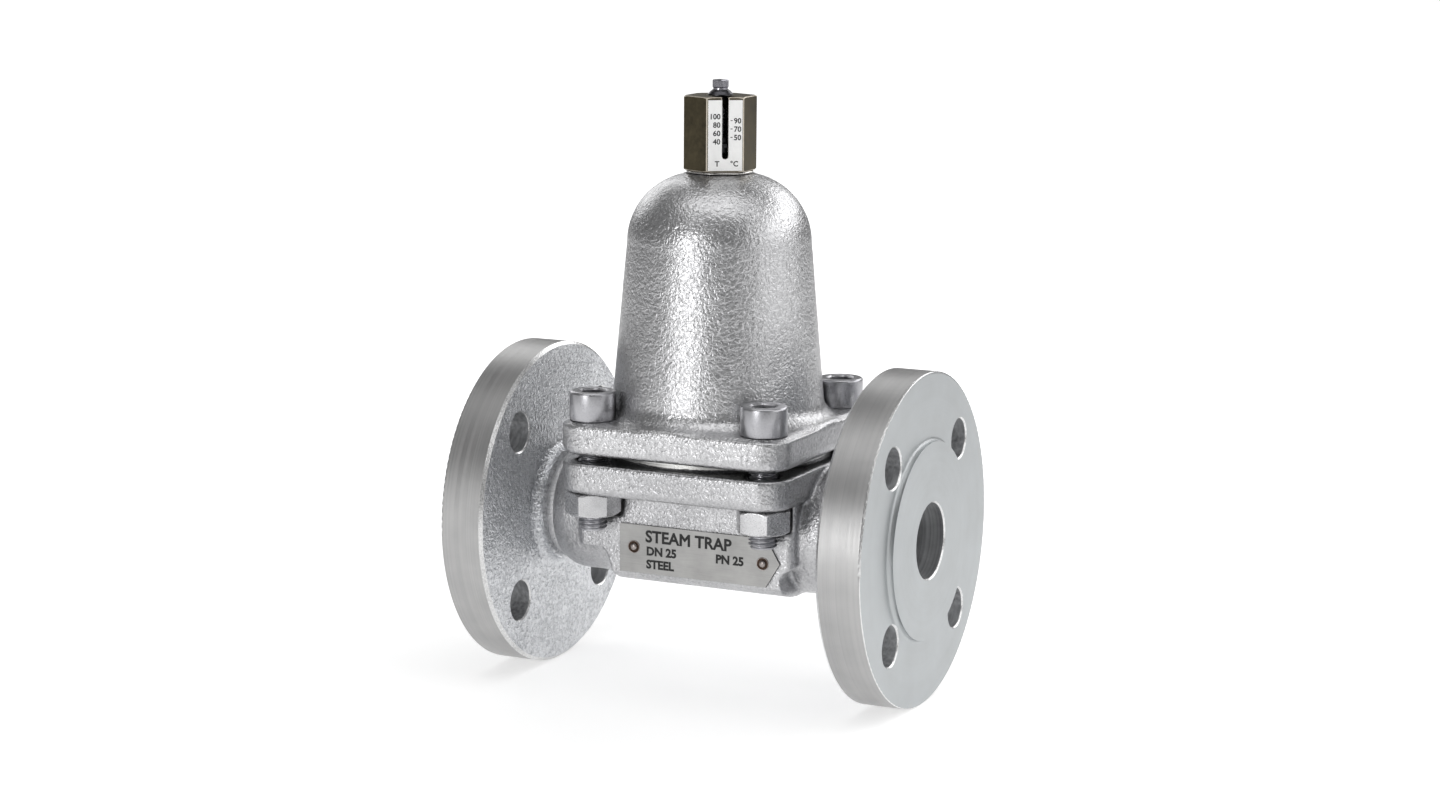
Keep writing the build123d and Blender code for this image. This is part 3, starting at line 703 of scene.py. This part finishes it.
# ---------------------------------------------------------------- seal washer under the housing
def crush_washer():
    """Flat ring with a rounded outside edge, in the space of the CAD washer."""
    low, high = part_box("housing_washer")
    outer = (high[0] - low[0]) / 2
    middle = (low[2] + high[2]) / 2
    half = (high[2] - low[2]) / 2
    rings = [ring(WASHER_BORE, low[2])]
    for i in range(9):
        bend = -pi / 2 + pi * i / 8
        rings.append(ring(outer - WASHER_EDGE * (1 - cos(bend)), middle + half * sin(bend)))
    rings.append(ring(WASHER_BORE, high[2]))
    return moved(skin("crush_washer", rings, hollow=True), 0, AXIS_X, 0)


piece(crush_washer(), "trap", "bright_washer", [bright], "housing_washer")


# ---------------------------------------------------------------- scale housing and its plate
def blacken_slot(mesh):
    """Give the walls of the housing's slot and bore its third material, a near-black painted shadow, but not
    the bevels in view.
    """
    across = Vector((cos(radians(SCALE_TURN)), sin(radians(SCALE_TURN)), 0))
    outward = Vector((sin(radians(SCALE_TURN)), -cos(radians(SCALE_TURN)), 0))
    top = HOUSING_HIGH[2] - 0.0004
    front = SCALE_FACE - 0.0007
    for face in mesh.polygons:
        if face.center[2] > top:
            continue
        arm = face.center - Vector((AXIS_X, 0, 0))
        in_slot = abs(arm.dot(across)) < SLOT_HALF + 0.0001 and SLOT_FROM < arm.dot(outward) < front
        in_bore = Vector((arm[0], arm[1])).length < HOUSING_BORE and abs(face.normal[2]) < 0.5
        if in_slot or in_bore:
            face.material_index = 2


housing_finishes = [bronze, brass_wear_and_highlight, shadow_steel]
housing_mesh = machined("scale_housing", housing_finishes, HOUSING_BEVEL, clamp=False)
blacken_slot(housing_mesh)
piece(housing_mesh, "trap", "housing_brass", housing_finishes, "scale_housing")

scale_finishes = [scale_white, bright]
scale_mesh = machined("scale_plate", scale_finishes, SCALE_BEVEL)
piece(scale_mesh, "trap", "scale_face", scale_finishes, "scale_plate")

plate_finishes = [plate_steel, plate_edge_shadow]
plate_mesh = machined("name_plate", plate_finishes, PLATE_BEVEL)
piece(plate_mesh, "trap", "plate_steel", plate_finishes, "name_plate")


# ---------------------------------------------------------------- rivets
def rivet_head(x, z):
    """Drive rivet in a shallow dimple: raised rim, groove in dark brown painted shadow, and dome, facing -Y.
    """
    profile = [
        (0.0, 0.0), (0.0023, 0.0), (0.0023, 0.00012), (0.00215, 0.00020), (0.00200, 0.00016),
        (0.00185, 0.00005), (0.00130, 0.00004), (0.00122, 0.00030), (0.00105, 0.00055),
        (0.00078, 0.00072), (0.00040, 0.00081), (0.00005, 0.00084),
    ]
    mesh = skin("rivet_head", [ring(max(r, 0.00001), h) for r, h in profile])
    for face in mesh.polygons:
        reach = Vector((face.center[0], face.center[1])).length
        face.material_index = int(RIVET_GROOVE[0] < reach < RIVET_GROOVE[1])
    mesh.transform(Matrix.Translation((x, PLATE_FRONT, z)) @ Matrix.Rotation(radians(90), 4, "X"))
    return mesh


heads = [rivet_head(x, z) for x, z in RIVETS]
piece(joined("rivet_heads", heads), "trap", "rivet", [rivet_dome, rivet_groove_shadow], "name_plate_rivets")


# ---------------------------------------------------------------- print on the two plates
def lettering(text, height, align, weight):
    """Thin raised print in the XY plane, its capitals the given height, its strokes fattened by a weight."""
    curve = bpy.data.curves.new("print", "FONT")
    curve.body = text
    curve.align_x = align
    curve.size = height / CAP_SHARE
    curve.extrude = PRINT_DEPTH / 2
    curve.bevel_depth = weight
    curve.resolution_u = 3
    obj = bpy.data.objects.new("print", curve)
    bpy.context.collection.objects.link(obj)
    graph = bpy.context.evaluated_depsgraph_get()
    mesh = bpy.data.meshes.new_from_object(obj.evaluated_get(graph))
    bpy.data.objects.remove(obj)
    mesh.transform(Matrix.Diagonal((1, 1, PRINT_DEPTH / (PRINT_DEPTH + 2 * weight), 1)))
    return mesh


def printed(face, rows, weight):
    """Meshes of rows of (text, height, x, y, align) laid on a face given by its matrix."""
    meshes = []
    for text, height, x, y, align in rows:
        mesh = lettering(text, height, align, weight)
        mesh.transform(face @ Matrix.Translation((x, y, 0)))
        meshes.append(mesh)
    return meshes


def stroke(x, y, width, height):
    """Thin printed bar in the XY plane."""
    bm = bmesh.new()
    bmesh.ops.create_cube(bm, size=1.0)
    bm.transform(Matrix.Translation((x, y, 0)) @ Matrix.Diagonal((width, height, PRINT_DEPTH, 1)))
    mesh = bpy.data.meshes.new("stroke")
    bm.to_mesh(mesh)
    bm.free()
    return mesh


upright = Matrix.Rotation(radians(90), 4, "X")
plate_face = Matrix.Translation((0, PLATE_FRONT - PRINT_DEPTH / 2, 0)) @ upright
plate_rows = [
    ("STEAM TRAP", TITLE, 0.0652, -0.0047, "LEFT"),
    ("DN 25", SMALL, 0.0656, -0.0093, "LEFT"),
    ("PN 25", SMALL, 0.0920, -0.0093, "LEFT"),
    ("STEEL", SMALL, 0.0656, -0.0139, "LEFT"),
]
plate_print = joined("plate_print", printed(plate_face, plate_rows, PLATE_STROKE))
piece(plate_print, "trap", "plate_steel", [ink])

scale_face = (
    Matrix.Translation((AXIS_X, 0, 0)) @ Matrix.Rotation(radians(SCALE_TURN), 4, "Z")
    @ Matrix.Translation((0, -SCALE_FACE - PRINT_DEPTH / 2, 0)) @ upright
)
scale_rows = [
    ("T", FIGURE, -0.0020, LEGEND_Z, "RIGHT"),
    ("°C", FIGURE, SLOT_HALF + FIGURE_GAP, LEGEND_Z, "LEFT"),
]
ticks = []
for step, value in enumerate(range(40, 101, 10)):
    z = SCALE_ZERO + SCALE_STEP * step / 2
    if step % 2 == 0:
        scale_rows.append((str(value), FIGURE, -SLOT_HALF - FIGURE_GAP, z - FIGURE / 2, "RIGHT"))
    else:
        scale_rows.append((str(value), FIGURE, SLOT_HALF + 3 * FIGURE_GAP, z - FIGURE / 2, "LEFT"))
        tick = stroke(TICK_AT, z, *TICK_SIZE)
        tick.transform(scale_face)
        ticks.append(tick)
scale_print = joined("scale_print", printed(scale_face, scale_rows, SCALE_STROKE) + ticks)
piece(scale_print, "trap", "scale_face", [ink])


# ---------------------------------------------------------------- stage, lights and camera
CAMERA_POS = (0.5138, -0.9159, 0.2217)
CAMERA_YAW = 25.31
CAMERA_PITCH = 10.16
CAMERA_ROLL = 0.42
CAMERA_LENS = 74.1

# the studio is bright to the camera and dim to the metal, so that the casting's edges turn dark
# against a white ground; the floor's glow is painted light, duller under the trap as painted shade
STUDIO_DIM = 0.17
FLOOR_HALF = 6.0
FLOOR_GLOW = 0.48


def floor_paint():
    """Pale floor with a painted glow, which grows away from the trap to the camera, leaving painted shade
    under it, and fades to the metal.
    """
    mat, tree, shader = new_material("floor_pale")
    shader.inputs["Base Color"].default_value = (0.88, 0.88, 0.88, 1)
    shader.inputs["Roughness"].default_value = 0.9
    shader.inputs["Emission Color"].default_value = (1, 1, 1, 1)
    near, mirrored_near, far = 0.15, 0.3, 1.2
    reach = node(tree, "ShaderNodeVectorMath", operation="LENGTH")
    tree.links.new(position(tree), reach.inputs[0])
    seen = span(tree, reach.outputs["Value"], near, far, FLOOR_GLOW, 1.0)
    mirrored = span(tree, reach.outputs["Value"], mirrored_near, far, FLOOR_GLOW, STUDIO_DIM)
    glow = node(tree, "ShaderNodeMix", data_type="FLOAT")
    tree.links.new(node(tree, "ShaderNodeLightPath").outputs["Is Camera Ray"], glow.inputs["Factor"])
    tree.links.new(mirrored, glow.inputs["A"])
    tree.links.new(seen, glow.inputs["B"])
    tree.links.new(glow.outputs["Result"], shader.inputs["Emission Strength"])
    return mat


floor_mesh = bpy.data.meshes.new("floor")
corners = [(-1, -1), (1, -1), (1, 1), (-1, 1)]
floor_mesh.from_pydata([(x * FLOOR_HALF, y * FLOOR_HALF, FLOOR_Z) for x, y in corners], [], [(0, 1, 2, 3)])
floor_mesh.materials.append(floor_paint())
floor = bpy.data.objects.new("floor", floor_mesh)
bpy.context.collection.objects.link(floor)

LIGHTS_AIM = Vector((AXIS_X, 0, 0.045))


def soft_box(name, azimuth, elevation, distance, size, power):
    """Rectangular area light aimed at the trap's middle; azimuth 0 is the -Y side and 90 the +X side."""
    light = bpy.data.lights.new(name, "AREA")
    light.shape = "RECTANGLE"
    light.size, light.size_y = size
    light.energy = power
    a, e = radians(azimuth), radians(elevation)
    back = Vector((sin(a) * cos(e), -cos(a) * cos(e), sin(e)))
    obj = bpy.data.objects.new(name, light)
    obj.location = LIGHTS_AIM + back * distance
    obj.rotation_euler = back.to_track_quat("Z", "Y").to_euler()
    bpy.context.collection.objects.link(obj)


soft_box("key", -12, 9, 1.3, (0.40, 0.56), 3.6)
soft_box("right", 98, 22, 1.3, (1.4, 0.85), 5.2)
soft_box("rear_right", 153, 30, 1.4, (1.5, 0.6), 6.5)
soft_box("rear_left", -128, 20, 1.4, (0.8, 0.5), 2.2)
soft_box("back", 210, 40, 1.5, (0.8, 0.4), 1.8)
soft_box("overhead", 25, 76, 1.2, (1.6, 0.9), 6)

world = bpy.data.worlds.new("studio")
world.use_nodes = True
world_tree = world.node_tree
background = world_tree.nodes["Background"]
background.inputs["Color"].default_value = (1, 1, 1, 1)
camera_ray = node(world_tree, "ShaderNodeLightPath").outputs["Is Camera Ray"]
world_tree.links.new(span(world_tree, camera_ray, 0.0, 1.0, STUDIO_DIM, 1.0), background.inputs["Strength"])
bpy.context.scene.world = world
bpy.context.scene.view_settings.view_transform = "Standard"

camera_data = bpy.data.cameras.new("camera")
camera_data.lens = CAMERA_LENS
camera_data.sensor_width = 36
camera_data.clip_start = 0.01
camera = bpy.data.objects.new("camera", camera_data)
turn = Matrix.Rotation(radians(CAMERA_YAW), 4, "Z") @ Matrix.Rotation(radians(90 - CAMERA_PITCH), 4, "X")
camera.matrix_world = Matrix.Translation(CAMERA_POS) @ turn @ Matrix.Rotation(radians(CAMERA_ROLL), 4, "Z")
bpy.context.collection.objects.link(camera)
bpy.context.scene.camera = camera
